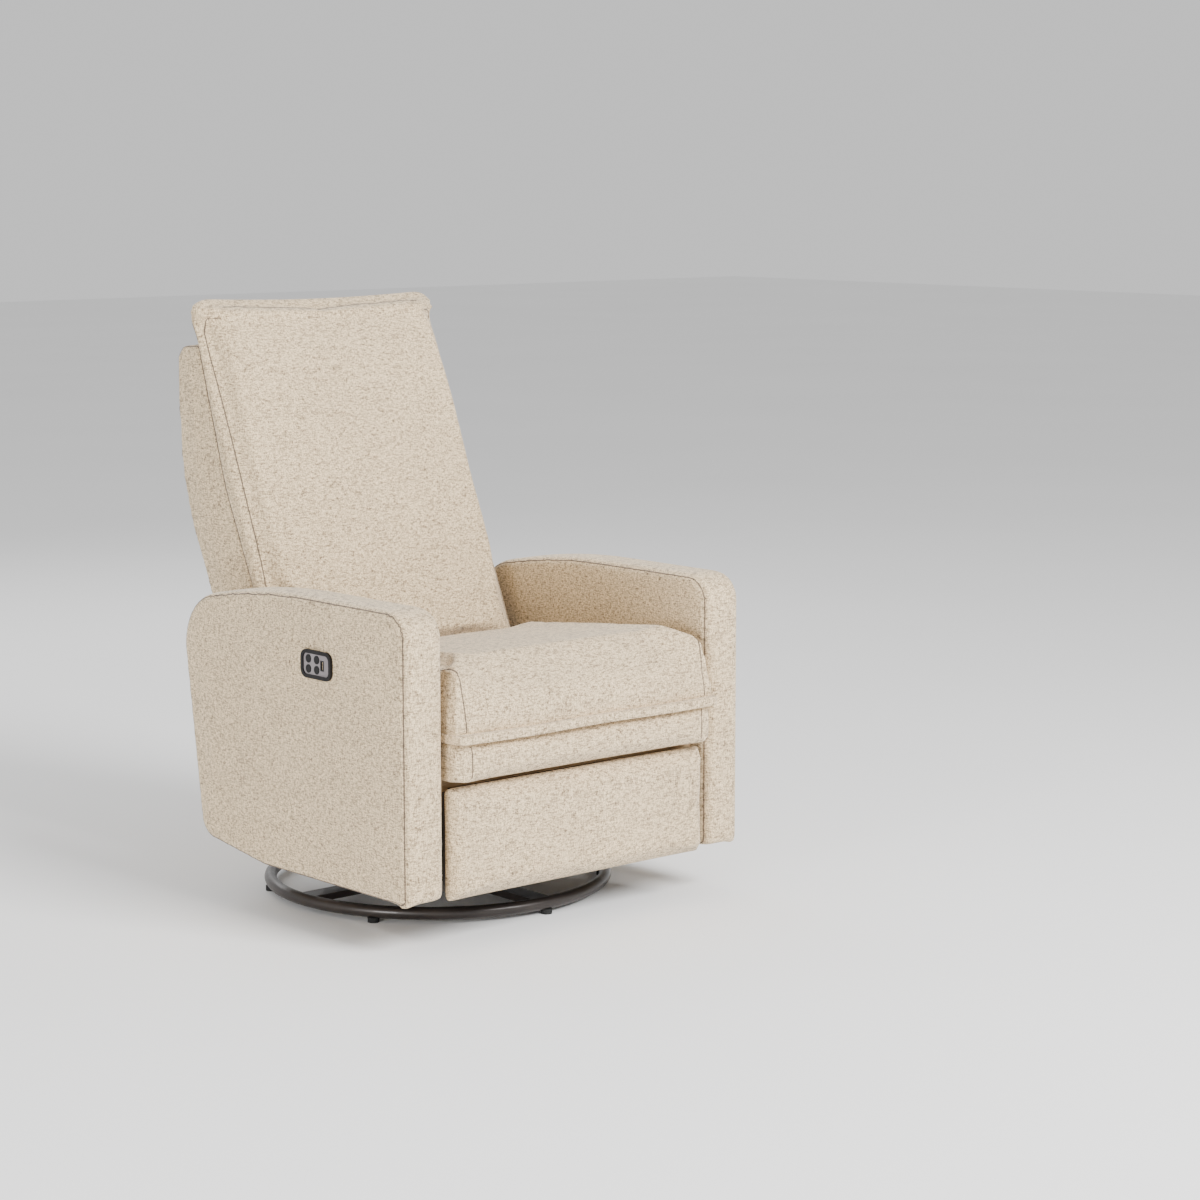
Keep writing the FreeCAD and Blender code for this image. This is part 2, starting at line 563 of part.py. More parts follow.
def back():
    pivot = (size("recline_y"), size("recline_z"))
    cushion_rear = [(266, 708), (124, 402)]
    node(wide_body("back_cushion", [(84, 402, 12), (206, 696), (332, 1004),
                                    (340, size("back_top"), 12), (367, size("back_top"), 12),
                                    (367, 1010), (348, 970),
                                    (266, 708), (124, 402, 8)], "cushion_half"), "back_cushion")
    rear = size("chair_rear")
    shell = wide_body("outer_back_blank", [(150, 310, 8), (235, 310, 20), (325, 519), (383, 642),
                                           (410, 731), (rear, 857), (rear, 956, 18), (346, 960),
                                           (267.5, 708), (128, 408)], "shell_half")
    hollow = wide_body("outer_back_hollow", [(146, 322), (229, 322, 15), (316, 525), (373, 648),
                                             (399, 735), (rear - 9, 858), (rear - 9, 944, 12),
                                             (332, 948), (255, 708), (116, 402)],
                       "shell_half - shell_wall")
    node(cut("outer_back_cut", shell, [hollow]), "outer_back")
    outline = corner_loop([(134, 404), (276, 708), (352, 930), (386, 930), (312, 708), (172, 404),
                           (160, 345), (128, 345)])
    stiles = both_sides("back_stiles", side_body("back_stile", outline, "stile_in", "stile_thick"))
    rails = [box(f"back_rail_{i}", ("-stile_in", y, z), ("2 * stile_in", 24, 40))
             for i, (y, z) in enumerate(((132, 350), (252, 600), (352, 885)))]
    node(group("back_frame_parts", [stiles] + rails), "back_frame")
    rise_y = cushion_rear[0][0] - cushion_rear[1][0]
    rise_z = cushion_rear[0][1] - cushion_rear[1][1]
    lean = degrees(atan2(rise_y, rise_z))
    straps = []
    for i, height in enumerate((440, 520, 640)):
        at_y = cushion_rear[1][0] + (height - cushion_rear[1][1]) * tan(radians(lean)) + 3
        strap = box(f"back_strap_{i}", ("-stile_in - stile_thick", at_y, height),
                    ("2 * (stile_in + stile_thick)", 2, 50))
        strap.Placement.Rotation = FreeCAD.Rotation(FreeCAD.Vector(1, 0, 0), -lean)
        straps.append(strap)
    node(group("back_webbing", straps), "back_webbing")
    bracket = side_body("back_bracket", bar_loop(pivot, (160, 420), 14), "back_bracket_in", 6,
                        [(*pivot, size("recline_pin") + MOVING_GAP)])
    node(both_sides("back_brackets", bracket), "back_brackets")
    tube = rod("torque_tube_bar", ("-back_bracket_in", *pivot), "drive_tube_radius",
               "2 * back_bracket_in", "x")
    node(fuse("back_torque_tube_fuse", [tube] + lug_pieces("back", pivot, back_lug_length(),
              size("back_lug_angle"), "actuator_x")), "back_torque_tube")


# ---------------------------------------------------------------- build, check and write

floor_glides()
base_frame()
swivel_bearing()
glide()
seat_frame()
seat_upholstery()
arms()
controls()
footrest()
actuators()
back()
doc.recompute()

for obj in doc.Objects:
    if "Invalid" in obj.State or "Error" in obj.State:
        raise RuntimeError(f"{obj.Label} failed: {obj.State}")
for piece in nodes:
    if piece.Shape.isNull() or not piece.Shape.isValid():
        raise RuntimeError(f"{piece.Label} has no valid shape")
for piece in nodes:
    piece.Shape.exportStep(f"parts/{piece.Label}.step")
whole = FreeCAD.BoundBox()
for piece in nodes:
    whole.add(piece.Shape.BoundBox)
print(len(nodes), "nodes", whole)
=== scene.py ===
import json
import math

import bmesh
import bpy
import numpy as np
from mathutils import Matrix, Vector
from mathutils.bvhtree import BVHTree
from mathutils.kdtree import KDTree


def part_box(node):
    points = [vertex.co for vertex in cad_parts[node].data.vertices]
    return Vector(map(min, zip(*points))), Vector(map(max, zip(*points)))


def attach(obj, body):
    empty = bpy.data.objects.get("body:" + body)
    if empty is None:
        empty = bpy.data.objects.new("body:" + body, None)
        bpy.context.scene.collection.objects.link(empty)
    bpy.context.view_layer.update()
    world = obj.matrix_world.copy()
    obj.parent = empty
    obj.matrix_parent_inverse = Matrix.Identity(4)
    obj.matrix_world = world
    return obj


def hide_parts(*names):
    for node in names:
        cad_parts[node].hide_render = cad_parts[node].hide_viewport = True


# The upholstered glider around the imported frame: cushions, arms, outer back, materials and studio.
# Metres, front -Y, up +Z, as the frame.

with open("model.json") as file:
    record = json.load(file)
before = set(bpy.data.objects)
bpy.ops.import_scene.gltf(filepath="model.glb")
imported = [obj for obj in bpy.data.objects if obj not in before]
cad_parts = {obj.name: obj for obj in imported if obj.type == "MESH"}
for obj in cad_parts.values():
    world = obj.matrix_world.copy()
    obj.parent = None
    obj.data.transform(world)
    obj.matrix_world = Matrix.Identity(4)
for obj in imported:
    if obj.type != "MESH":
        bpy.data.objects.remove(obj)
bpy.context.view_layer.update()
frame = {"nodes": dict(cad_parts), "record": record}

SEED = 7
VOXEL = 0.0055              # remesh size of the soft pieces
BEVEL_SEGMENTS = 4
BEVEL_PROFILE = 0.6

SIM_FRAMES = 20             # the cloth simulation that puffs a cover
SIM_QUALITY = 4
PRESSURE = 4.0
CLOTH_STRETCH = 12
CLOTH_BEND = 0.6

SEAM_RADIUS = 0.0013        # of the dark line of painted shade along each seam
SEAM_STEP = 0.004           # between the points of an open seam
RING_STEP = 0.003           # between the points of a seam that runs round a side face
STITCH_LENGTH = 0.0042
STITCH_GAP = 0.0026
STITCH_RADIUS = 0.00045


# ---------------------------------------------------------------- material helpers

# sockets of the Mix node in its colour mode
MIX_FACTOR, MIX_COLOR_A, MIX_COLOR_B, MIX_RESULT = 0, 6, 7, 2


class Nodes:
    """Short calls for building one material's node tree."""

    def __init__(self, name, roughness, metallic=0.0, sheen=0.0, coat=0.0):
        self.material = bpy.data.materials.new(name)
        self.material.use_nodes = True
        self.tree = self.material.node_tree
        self.shader = self.tree.nodes["Principled BSDF"]
        self.shader.inputs["Roughness"].default_value = roughness
        self.shader.inputs["Metallic"].default_value = metallic
        self.shader.inputs["Sheen Weight"].default_value = sheen
        self.shader.inputs["Coat Weight"].default_value = coat
        self.coords = self.tree.nodes.new("ShaderNodeTexCoord").outputs["Object"]

    def link(self, output, target):
        self.tree.links.new(output, target)

    def scaled(self, scale):
        mapping = self.tree.nodes.new("ShaderNodeMapping")
        mapping.inputs["Scale"].default_value = scale
        self.link(self.coords, mapping.inputs["Vector"])
        return mapping.outputs["Vector"]

    def noise(self, scale, detail=2.0, stretch=(1, 1, 1), roughness=0.5):
        node = self.tree.nodes.new("ShaderNodeTexNoise")
        node.inputs["Scale"].default_value = scale
        node.inputs["Detail"].default_value = detail
        node.inputs["Roughness"].default_value = roughness
        self.link(self.scaled(stretch), node.inputs["Vector"])
        return node.outputs["Fac"]

    def wave(self, scale, direction):
        node = self.tree.nodes.new("ShaderNodeTexWave")
        node.bands_direction = direction
        node.inputs["Scale"].default_value = scale
        self.link(self.coords, node.inputs["Vector"])
        return node.outputs["Fac"]

    def ramp(self, factor, stops):
        node = self.tree.nodes.new("ShaderNodeValToRGB")
        elements = node.color_ramp.elements
        while len(elements) < len(stops):
            elements.new(0.5)
        for element, (position, color) in zip(elements, stops):
            element.position = position
            element.color = (*color, 1.0)
        self.link(factor, node.inputs["Fac"])
        return node.outputs["Color"]

    def mix(self, a, b, factor, blend="MIX"):
        """Two colour outputs blended by a number."""
        node = self.tree.nodes.new("ShaderNodeMix")
        node.data_type = "RGBA"
        node.blend_type = blend
        node.inputs[MIX_FACTOR].default_value = factor
        self.link(a, node.inputs[MIX_COLOR_A])
        self.link(b, node.inputs[MIX_COLOR_B])
        return node.outputs[MIX_RESULT]

    def math(self, operation, a, b):
        """An output with an operation applied, where b is an output or a number."""
        node = self.tree.nodes.new("ShaderNodeMath")
        node.operation = operation
        self.link(a, node.inputs[0])
        if isinstance(b, (int, float)):
            node.inputs[1].default_value = b
        else:
            self.link(b, node.inputs[1])
        return node.outputs[0]

    def bump(self, height, distance, strength):
        node = self.tree.nodes.new("ShaderNodeBump")
        node.inputs["Distance"].default_value = distance
        node.inputs["Strength"].default_value = strength
        self.link(height, node.inputs["Height"])
        self.link(node.outputs["Normal"], self.shader.inputs["Normal"])

    def color(self, output):
        self.link(output, self.shader.inputs["Base Color"])

    def rough(self, factor, low, high):
        """Roughness that runs from low to high with the factor."""
        spread = self.math("MULTIPLY", factor, high - low)
        self.link(self.math("ADD", spread, low), self.shader.inputs["Roughness"])


def tweed(name, cream, tan, brown):
    """Heathered tweed: three yarn colours in streaks along the weft and warp, with small flecks."""
    n = Nodes(name, 0.9, sheen=0.25)
    n.shader.inputs["Sheen Roughness"].default_value = 0.55
    n.shader.inputs["Specular IOR Level"].default_value = 0.25
    weft = n.noise(430, 3.0, stretch=(0.28, 0.28, 1.0), roughness=0.6)
    warp = n.noise(450, 3.0, stretch=(1.0, 1.0, 0.28), roughness=0.6)
    fleck = n.noise(640, 3.0, roughness=0.7)
    cloud = n.noise(7, 2.0)
    yarns = [(0.37, brown), (0.46, tan), (0.53, cream)]
    mixed = n.mix(n.ramp(weft, yarns), n.ramp(warp, yarns), 0.45)
    flecks = n.ramp(fleck, [(0.38, (0.5, 0.48, 0.46)), (0.49, (1.0, 1.0, 1.0)),
                            (0.6, (1.3, 1.3, 1.28))])
    mixed = n.mix(mixed, flecks, 0.9, "MULTIPLY")
    shade = n.ramp(cloud, [(0.3, (0.97, 0.97, 0.97)), (0.7, (1.03, 1.03, 1.03))])
    n.color(n.mix(mixed, shade, 1.0, "MULTIPLY"))
    threads = n.math("ADD", n.math("MULTIPLY", weft, 0.5), n.math("MULTIPLY", warp, 0.5))
    n.bump(n.math("ADD", threads, n.math("MULTIPLY", fleck, 0.5)), 0.0016, 0.55)
    return n.material


def painted_metal(name, dark, light, roughness):
    """Satin powder coat: faint colour drift, orange peel and slightly worn gloss."""
    n = Nodes(name, roughness, metallic=0.35, coat=0.15)
    n.color(n.ramp(n.noise(14, 4.0), [(0.35, dark), (0.7, light)]))
    n.rough(n.noise(40, 3.0), roughness - 0.08, roughness + 0.12)
    n.bump(n.noise(900, 2.0), 0.0004, 0.35)
    return n.material


def steel(name):
    """Zinc-plated steel with a faint drawn grain."""
    n = Nodes(name, 0.32, metallic=1.0)
    n.color(n.ramp(n.noise(60, 3.0), [(0.3, (0.42, 0.42, 0.44)), (0.7, (0.66, 0.66, 0.68))]))
    n.rough(n.noise(300, 2.0, stretch=(0.1, 1, 1)), 0.24, 0.42)
    n.bump(n.noise(1500, 1.0, stretch=(0.05, 1, 1)), 0.0002, 0.3)
    return n.material


def plastic(name, dark, light, roughness, grain):
    """Moulded plastic with a fine spark-eroded grain."""
    n = Nodes(name, roughness)
    n.shader.inputs["Specular IOR Level"].default_value = 0.3
    n.color(n.ramp(n.noise(25, 2.0), [(0.35, dark), (0.7, light)]))
    n.rough(n.noise(120, 2.0), roughness - 0.05, roughness + 0.08)
    n.bump(n.noise(grain, 2.0), 0.0003, 0.4)
    return n.material


def wood(name):
    """Sawn softwood: growth rings stretched along the board and short dark pores."""
    n = Nodes(name, 0.62)
    grain = n.noise(26, 5.0, stretch=(0.5, 0.5, 5.0), roughness=0.6)
    pores = n.noise(500, 2.0, stretch=(0.1, 0.1, 1.0))
    boards = n.ramp(grain, [(0.3, (0.30, 0.18, 0.09)), (0.55, (0.52, 0.36, 0.2)),
                            (0.75, (0.64, 0.47, 0.29))])
    holes = n.ramp(pores, [(0.3, (0.7, 0.7, 0.7)), (0.5, (1, 1, 1))])
    n.color(n.mix(boards, holes, 0.6, "MULTIPLY"))
    n.bump(grain, 0.0006, 0.5)
    return n.material


def webbing(name):
    """Ribbed black strap."""
    n = Nodes(name, 0.85)
    rib = n.wave(420, "X")
    ribs = n.ramp(rib, [(0.2, (0.06, 0.055, 0.05)), (0.8, (0.16, 0.145, 0.13))])
    fuzz = n.ramp(n.noise(300, 2.0), [(0.3, (0.8, 0.8, 0.8)), (0.7, (1.1, 1.1, 1.1))])
    n.color(n.mix(ribs, fuzz, 1.0, "MULTIPLY"))
    n.bump(rib, 0.0005, 0.6)
    return n.material


MATERIALS = {
    "upholstery": tweed("oatmeal_tweed", (0.74, 0.58, 0.365), (0.46, 0.34, 0.205),
                        (0.12, 0.08, 0.045)),
    # painted shade: the seam lines get a dark tweed that stands in for the shadow in the seams'
    # creases
    "seam_painted_shade": tweed("seam_shadow", (0.16, 0.115, 0.08), (0.10, 0.07, 0.05),
                         (0.05, 0.035, 0.025)),
    "frame_wood": wood("frame_pine"),
    "frame_metal": painted_metal("frame_powder_coat", (0.018, 0.018, 0.02),
                                 (0.035, 0.035, 0.038), 0.45),
    "base_metal": painted_metal("ring_dark_bronze", (0.022, 0.017, 0.015),
                                (0.042, 0.033, 0.029), 0.36),
    "steel": steel("zinc_steel"),
    "rubber": plastic("glide_rubber", (0.012, 0.012, 0.012), (0.025, 0.025, 0.025), 0.8, 600),
    "webbing": webbing("woven_strap"),
    "black_plastic": plastic("black_plastic", (0.01, 0.01, 0.01), (0.02, 0.02, 0.02), 0.5, 1200),
    "control_rim": plastic("rim_satin_black", (0.004, 0.003, 0.003), (0.008, 0.007, 0.007),
                           0.55, 900),
    "control_plate": plastic("plate_satin_grey", (0.185, 0.165, 0.168), (0.225, 0.205, 0.208),
                             0.42, 1500),
    "button": plastic("button_black", (0.004, 0.004, 0.004), (0.010, 0.009, 0.009), 0.6, 1100),
    "actuator_case": plastic("actuator_case", (0.03, 0.03, 0.032), (0.05, 0.05, 0.053), 0.5, 700),
}
slot_of_node = {s["node"]: s["material_slot"] for s in frame["record"]["subparts"]}
for node_name, obj in frame["nodes"].items():
    obj.data.materials.clear()
    obj.data.materials.append(MATERIALS[slot_of_node[node_name]])


# ---------------------------------------------------------------- mesh helpers

def rounded(corners, steps=8):
    """The points of a closed outline whose corners are (a, b) or (a, b, radius)."""
    points = []
    count = len(corners)
    for i, corner in enumerate(corners):
        here = Vector(corner[:2])
        radius = corner[2] if len(corner) > 2 else 0
        if not radius:
            points.append(tuple(here))
            continue
        back = (Vector(corners[i - 1][:2]) - here).normalized()
        ahead = (Vector(corners[(i + 1) % count][:2]) - here).normalized()
        half = math.acos(max(-1, min(1, back.dot(ahead)))) / 2
        reach = radius / math.tan(half)
        first, last = here + back * reach, here + ahead * reach
        centre = here + (back + ahead).normalized() * (radius / math.sin(half))
        for k in range(steps + 1):
            arm = (first - centre).lerp(last - centre, k / steps).normalized() * radius
            points.append(tuple(centre + arm))
    return points


def even(points, step, closed=True):
    """The same path with points at even steps."""
    pts = np.array(points + [points[0]] if closed else points, float)
    lengths = np.r_[0, np.cumsum(np.linalg.norm(np.diff(pts, axis=0), axis=1))]
    count = max(2, int(lengths[-1] / step))
    at = np.linspace(0, lengths[-1], count + 1)
    if closed:
        at = at[:-1]
    return np.stack([np.interp(at, lengths, pts[:, k]) for k in range(pts.shape[1])], 1)


def new_object(name, bm):
    mesh = bpy.data.meshes.new(name)
    bmesh.ops.recalc_face_normals(bm, faces=bm.faces)
    bm.to_mesh(mesh)
    bm.free()
    obj = bpy.data.objects.new(name, mesh)
    bpy.context.scene.collection.objects.link(obj)
    return obj


def slab(name, loops, bevel):
    """A closed slab between two matching loops of points, with its end edges rounded."""
    bm = bmesh.new()
    ends = [[bm.verts.new(point) for point in loop] for loop in loops]
    caps = [bm.faces.new(end) for end in ends]
    for i in range(len(ends[0])):
        k = (i + 1) % len(ends[0])
        bm.faces.new((ends[0][i], ends[0][k], ends[1][k], ends[1][i]))
    edges = [edge for cap in caps for edge in cap.edges]
    bmesh.ops.bevel(bm, geom=edges, offset=bevel, segments=BEVEL_SEGMENTS, affect="EDGES",
                    profile=BEVEL_PROFILE)
    return new_object(name, bm)


def prism(name, outline, x_low, x_high, bevel):
    """A slab whose (Y, Z) outline runs along X."""
    return slab(name, [[(x, y, z) for y, z in outline] for x in (x_low, x_high)], bevel)


def apply_modifiers(obj):
    graph = bpy.context.evaluated_depsgraph_get()
    mesh = bpy.data.meshes.new_from_object(obj.evaluated_get(graph))
    obj.modifiers.clear()
    obj.data = mesh


def remesh(obj, voxel=VOXEL):
    modifier = obj.modifiers.new("remesh", "REMESH")
    modifier.mode = "VOXEL"
    modifier.voxel_size = voxel
    apply_modifiers(obj)


def read_vectors(vertices, attribute):
    flat = np.empty(len(vertices) * 3)
    vertices.foreach_get(attribute, flat)
    return flat.reshape(-1, 3)


def points_of(obj):
    return read_vectors(obj.data.vertices, "co")


def normals_of(obj):
    return read_vectors(obj.data.vertices, "normal")


def set_points(obj, points):
    obj.data.vertices.foreach_set("co", points.ravel())
    obj.data.update()


def smooth(obj, repeats):
    modifier = obj.modifiers.new("smooth", "SMOOTH")
    modifier.factor = 0.5
    modifier.iterations = repeats
    apply_modifiers(obj)


def subdivide(obj):
    modifier = obj.modifiers.new("subdivision", "SUBSURF")
    modifier.levels = 1
    modifier.render_levels = 1
    apply_modifiers(obj)


def inflate(obj, cap, weight):
    """Puffs a closed cover by cloth simulation.

    No point moves further than cap, and weight(points) is how freely each one may move.
    """
    scene = bpy.context.scene
    rest = points_of(obj)
    cloth = obj.modifiers.new("cloth", "CLOTH")
    settings = cloth.settings
    settings.use_pressure = True
    settings.uniform_pressure_force = PRESSURE
    settings.effector_weights.gravity = 0
    settings.tension_stiffness = CLOTH_STRETCH
    settings.compression_stiffness = CLOTH_STRETCH
    settings.bending_stiffness = CLOTH_BEND
    settings.quality = SIM_QUALITY
    cloth.point_cache.frame_start = 1
    cloth.point_cache.frame_end = SIM_FRAMES
    for step in range(1, SIM_FRAMES + 1):
        scene.frame_set(step)
    graph = bpy.context.evaluated_depsgraph_get()
    moved = points_of(obj.evaluated_get(graph)) - rest
    obj.modifiers.clear()
    scene.frame_set(1)
    length = np.linalg.norm(moved, axis=1, keepdims=True)
    moved *= np.minimum(1, cap / np.maximum(length, 1e-9))
    set_points(obj, rest + moved * weight(rest)[:, None])


def groove(obj, path, depth, width):
    """Presses a seam into the surface along a path."""
    tree = KDTree(len(path))
    for i, point in enumerate(path):
        tree.insert(Vector(point), i)
    tree.balance()
    points, normals = points_of(obj), normals_of(obj)
    for i, point in enumerate(points):
        distance = tree.find(Vector(point))[2]
        if distance < 3 * width:
            points[i] -= normals[i] * depth * math.exp(-(distance / width) ** 2)
    set_points(obj, points)


def distance_to(outline, y, z):
    """The distance in the side plane from each point to a closed outline."""
    pts = np.array(outline)
    best = np.full(len(y), 9.0)
    for a, b in zip(pts, np.roll(pts, -1, axis=0)):
        edge = b - a
        part = ((y - a[0]) * edge[0] + (z - a[1]) * edge[1]) / max(edge @ edge, 1e-12)
        part = np.clip(part, 0, 1)
        best = np.minimum(best, np.hypot(y - a[0] - part * edge[0], z - a[1] - part * edge[1]))
    return best


def ease(value, low, high):
    """A smooth step from 0 at low to 1 at high."""
    part = np.clip((value - low) / (high - low), 0, 1)
    return part * part * (3 - 2 * part)


def ripples(points, size, seed):
    """A smooth pseudo-random field from a few sine waves."""
    rng = np.random.default_rng(seed)
    total = np.zeros(len(points))
    for _ in range(5):
        direction = rng.normal(size=3)
        direction /= np.linalg.norm(direction)
        total += np.sin(points @ direction * 2 * math.pi / size * rng.uniform(0.7, 1.5)
                        + rng.uniform(0, 6.3))
    return total / 5


def stitches(name, surface, path, body):
    """A row of short thread stitches that lie on a surface along a path."""
    tree = BVHTree.FromObject(surface, bpy.context.evaluated_depsgraph_get())
    bm = bmesh.new()
    pitch = STITCH_LENGTH + STITCH_GAP
    steps = even(path, pitch, closed=False)
    for a, b in zip(steps[:-1], steps[1:]):
        start, normal, _, _ = tree.find_nearest(Vector(a))
        stop = tree.find_nearest(Vector(a).lerp(Vector(b), STITCH_LENGTH / pitch))[0]
        along = stop - start
        if along.length < 1e-5:
            continue
        side = along.normalized().cross(normal).normalized() * STITCH_RADIUS
        lift = normal * STITCH_RADIUS * 1.2
        sink = normal * STITCH_RADIUS
        ring = [start - sink, start + along * 0.5 + lift, stop - sink]
        top = [bm.verts.new(p) for p in ring]
        shoulders = (start + along * 0.15, stop - along * 0.15)
        left = [bm.verts.new(p + side - sink) for p in shoulders]
        right = [bm.verts.new(p - side - sink) for p in shoulders]
        bm.faces.new((top[0], top[1], left[0]))
        bm.faces.new((top[1], top[2], left[1]))
        bm.faces.new((top[1], left[1], left[0]))
        bm.faces.new((top[0], right[0], top[1]))
        bm.faces.new((top[1], right[1], top[2]))
        bm.faces.new((top[1], right[0], right[1]))
        bm.faces.new((top[0], left[0], left[1], top[2], right[1], right[0]))
    obj = new_object(name, bm)
    obj.data.materials.append(MATERIALS["upholstery"])
    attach(obj, body)


def seam(name, surface, path, body):
    """A seam drawn as a dark line of painted shade for its crease: a thin tube half sunk in the
    surface along a path.
    """
    tree = BVHTree.FromObject(surface, bpy.context.evaluated_depsgraph_get())
    curve = bpy.data.curves.new(name, "CURVE")
    curve.dimensions = "3D"
    curve.bevel_depth = SEAM_RADIUS
    curve.bevel_resolution = 1
    spline = curve.splines.new("POLY")
    spline.points.add(len(path) - 1)
    for target, point in zip(spline.points, path):
        on_surface, normal, _, _ = tree.find_nearest(Vector(point))
        target.co = (*(on_surface - normal * SEAM_RADIUS * 0.35), 1)
    obj = bpy.data.objects.new(name, curve)
    bpy.context.scene.collection.objects.link(obj)
    # the dark tweed here is painted shade for the seam's crease
    curve.materials.append(MATERIALS["seam_painted_shade"])
    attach(obj, body)


def finish_soft(obj, body, *nodes, fill=None):
    """Upholsters a soft piece and says its body and the nodes it replaces; fill is not used."""
    obj.data.materials.clear()
    obj.data.materials.append(MATERIALS["upholstery"])
    obj.data.polygons.foreach_set("use_smooth", [True] * len(obj.data.polygons))
    obj.data.update()
    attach(obj, body)
    if nodes:
        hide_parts(*nodes)


# ---------------------------------------------------------------- arms

ARM_IN = 0.292              # the arm's inner and outer faces in X
ARM_FACE = 0.3715
STITCH_INSET = 0.009        # from the arm's edge seam to the topstitching beside it
PANEL_HALF_Y = 0.048        # half the patch round the control panel that has little padding
PANEL_HALF_Z = 0.030
PANEL_MARGIN = 0.03         # outside that patch, where the full padding comes back
ARM_OUTLINE = [(-0.383, 0.088, 0.014), (-0.383, 0.565, 0.045), (0.009, 0.565, 1.5),
               (0.256, 0.525, 0.095), (0.198, 0.113, 0.040), (0.02, 0.088)]


def arm(side):
    """One arm: a band over the front and top, and two lightly padded side panels."""
    name = "left" if side < 0 else "right"
    low, high = sorted((side * ARM_IN, side * ARM_FACE))
    outline = rounded(ARM_OUTLINE, 10)
    obj = prism(f"{name}_arm", outline, low, high, 0.006)
    remesh(obj)
    smooth(obj, 2)
    p = points_of(obj)
    middle, half = (low + high) / 2, (high - low) / 2
    across = np.clip((p[:, 0] - middle) / half, -1, 1)
    inside = distance_to(outline, p[:, 1], p[:, 2])
    on_band = ease(inside, 0.012, 0.0)
    crown = (1 - across ** 4) * on_band
    front = ease(p[:, 1], -0.33, -0.38)
    top = ease(p[:, 2], 0.50, 0.56)
    p[:, 1] -= crown * 0.012 * front
    p[:, 2] += crown * 0.005 * top * (1 - 0.4 * front)
    puff = ease(inside, 0.0, 0.07) * 0.004
    if side < 0:    # the arm with the control panel
        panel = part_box("control_rim")
        centre_y, centre_z = (panel[0][1] + panel[1][1]) / 2, (panel[0][2] + panel[1][2]) / 2
        reach = np.maximum(np.abs(p[:, 1] - centre_y) - PANEL_HALF_Y,
                           np.abs(p[:, 2] - centre_z) - PANEL_HALF_Z)
        puff *= ease(reach, 0.0, PANEL_MARGIN) * 0.7 + 0.3
    wave = ripples(p, 0.16, SEED + side) * 0.0012 * ease(inside, 0.0, 0.04)
    outer = np.abs(p[:, 0]) > abs(middle)
    p[:, 0] += np.where(outer, side, -side) * np.where(np.abs(across) > 0.75, puff + wave, 0)
    p[:, 0] = np.where(outer, p[:, 0], side * np.maximum(np.abs(p[:, 0]), ARM_IN - 0.001))
    # a small pointed fold where the band's lower end is tucked under the front corner
    tip = np.hypot(np.abs(p[:, 0]) - ARM_FACE, p[:, 1] + 0.380)
    p[:, 2] -= 0.007 * np.exp(-(tip / 0.016) ** 2) * ease(p[:, 2], 0.125, 0.09)
    set_points(obj, p)
    subdivide(obj)
    ring = even(outline, RING_STEP)
    lines = []
    for x in (low, high):
        inner_x = x + math.copysign(STITCH_INSET, middle - x)
        edge, topstitch = [[(at, y, z) for y, z in ring] for at in (x, inner_x)]
        groove(obj, edge, 0.0034, 0.0030)
        groove(obj, topstitch, 0.0009, 0.0025)
        lines.append(("out" if abs(x) == ARM_FACE else "in", edge, topstitch))
    finish_soft(obj, "seat", f"{name}_arm_cover", fill=0.8)
    for place, edge, topstitch in lines:
        seam(f"{name}_arm_seam_{place}", obj, edge + edge[:1], "seat")
        stitches(f"{name}_arm_stitch_{place}", obj, topstitch, "seat")


# ---------------------------------------------------------------- seat

SEAT_HALF = 0.286


